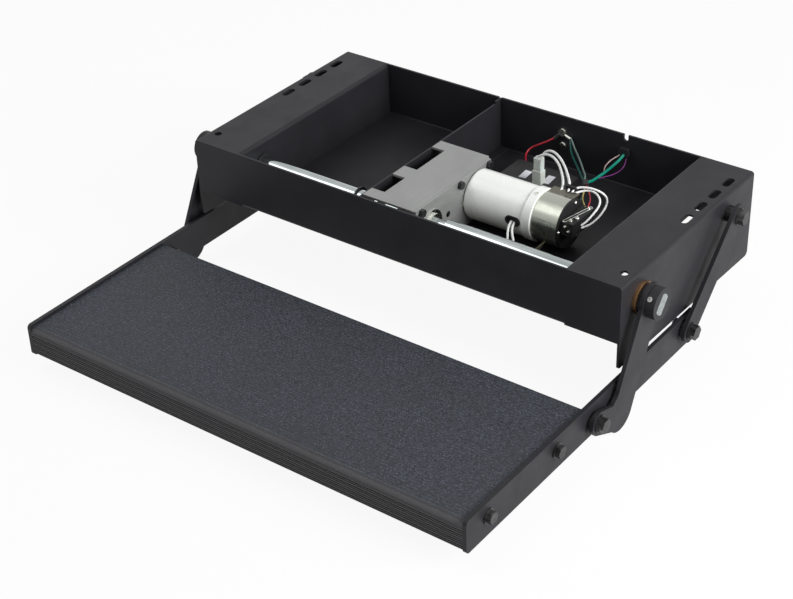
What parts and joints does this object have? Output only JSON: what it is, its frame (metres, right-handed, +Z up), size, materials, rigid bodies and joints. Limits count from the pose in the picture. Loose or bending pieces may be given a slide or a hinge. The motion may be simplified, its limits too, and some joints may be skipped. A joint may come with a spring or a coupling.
{
  "type": "electric rv step",
  "caption": "Electric entry step for a caravan or motorhome: a tread on folding arms below a steel tray that holds the motor and gear drive.",
  "frame": {"origin": "midway between the two round front mounting holes, on the mounting plane", "axes": "+X across the step to the motor's side, -Y towards the user, +Z up into the vehicle floor"},
  "size_m": [0.674, 0.6158, 0.1755],
  "materials": {
    "black_coat": "satin powder coat",
    "zinc_plate": "matt zinc plate",
    "bright_steel": "bright plated",
    "zinc_rod": "bright zinc plate",
    "zinc_bolt": "dark plated, worn",
    "dark_bolt": "black oxide",
    "bronze": "sintered bronze",
    "black_plastic": "matt moulded",
    "motor_enamel": "white enamel",
    "magnet": "sintered",
    "grommet_rubber": "matt",
    "nylon": "translucent natural",
    "module_case": "matt moulded",
    "white_wire": "soft gloss",
    "red_wire": "soft gloss",
    "green_wire": "soft gloss",
    "grey_wire": "soft gloss",
    "teal_wire": "soft gloss",
    "gear_steel": "machined",
    "armature_steel": "varnished laminations",
    "tread_grit": "fine anti-slip grit"
  },
  "bodies": {
    "housing": {"tray": "black_coat", "left_channel": "black_coat", "right_channel": "black_coat", "divider": "black_coat", "gear_cover": "zinc_plate", "motor_plate": "zinc_plate", "plate_bolts": "dark_bolt", "shaft_boss": "bright_steel", "gear_pins": "bright_steel", "outer_bushes": "bronze", "inner_bushes": "black_plastic", "thrust_washers": "bright_steel", "rear_pivot_bolts": "zinc_bolt", "rear_pivot_spacers": "zinc_bolt", "rear_pivot_nuts": "zinc_bolt", "motor_can": "motor_enamel", "brush_housing": "bright_steel", "motor_end_plate": "black_plastic", "motor_magnets": "magnet", "motor_bearings": "bright_steel", "wire_grommet": "grommet_rubber", "connector_plug": "nylon", "connector_socket": "nylon", "control_module": "module_case", "wall_screws": "bright_steel", "ring_terminals": "bright_steel", "harness_clip": "black_plastic", "harness_sleeve": "grommet_rubber", "motor_lead_a": "white_wire", "motor_lead_b": "white_wire", "red_lead": "red_wire", "green_lead": "green_wire", "grey_lead": "grey_wire", "teal_lead": "teal_wire", "outer_loop_lead": "white_wire", "inner_loop_lead": "white_wire", "grommet_lead_a": "white_wire", "grommet_lead_b": "white_wire"},
    "linkage": {"drive_shaft": "zinc_rod", "drive_gear": "gear_steel", "retaining_ring": "dark_bolt", "arm_collars": "black_coat", "collar_screws": "dark_bolt", "left_front_arm": "black_coat", "right_front_arm": "black_coat"},
    "tread": {"tread_pan": "black_coat", "tread_cover": "tread_grit", "left_rail": "black_coat", "right_rail": "black_coat", "tread_bolts": "zinc_bolt", "tread_nuts": "zinc_bolt", "tread_pivot_bolts": "zinc_bolt", "tread_pivot_spacers": "zinc_bolt", "tread_pivot_nuts": "zinc_bolt"},
    "left_rear_link": {"left_rear_arm": "black_coat"},
    "right_rear_link": {"right_rear_arm": "black_coat"},
    "second_cluster": {"second_gear": "gear_steel"},
    "first_cluster": {"first_gear": "gear_steel"},
    "motor_rotor": {"motor_shaft": "gear_steel", "armature": "armature_steel"}
  },
  "joints": [
    {"name": "fold", "type": "hinge", "parent": "housing", "child": "linkage", "pos_m": [0, 0.015, -0.0345], "axis": [1, 0, 0], "range_deg": [0, 92]},
    {"name": "tread_pivot", "type": "hinge", "parent": "linkage", "child": "tread", "pos_m": [0, -0.09, -0.138], "axis": [1, 0, 0], "range_deg": [-92, 0]},
    {"name": "left_rear_hinge", "type": "hinge", "parent": "housing", "child": "left_rear_link", "pos_m": [0, 0.2195, -0.0265], "axis": [1, 0, 0], "range_deg": [0, 92]},
    {"name": "right_rear_hinge", "type": "hinge", "parent": "housing", "child": "right_rear_link", "pos_m": [0, 0.2195, -0.0265], "axis": [1, 0, 0], "range_deg": [0, 92]},
    {"name": "second_gear_spin", "type": "hinge", "parent": "housing", "child": "second_cluster", "pos_m": [0, 0.04937, -0.0375], "axis": [1, 0, 0], "range_deg": [-261, 0]},
    {"name": "first_gear_spin", "type": "hinge", "parent": "housing", "child": "first_cluster", "pos_m": [0, 0.07937, -0.0375], "axis": [1, 0, 0], "range_deg": [0, 609]},
    {"name": "motor_spin", "type": "hinge", "parent": "housing", "child": "motor_rotor", "pos_m": [0, 0.11087, -0.0375], "axis": [1, 0, 0], "range_deg": [-1521, 0]}
  ],
  "couplings": [
    {"joint": "tread_pivot", "follows": "fold", "ratio": -1},
    {"joint": "left_rear_hinge", "follows": "fold", "ratio": 1},
    {"joint": "right_rear_hinge", "follows": "fold", "ratio": 1},
    {"joint": "second_gear_spin", "follows": "fold", "ratio": -2.8333},
    {"joint": "first_gear_spin", "follows": "fold", "ratio": 6.6111},
    {"joint": "motor_spin", "follows": "fold", "ratio": -16.528}
  ]
}
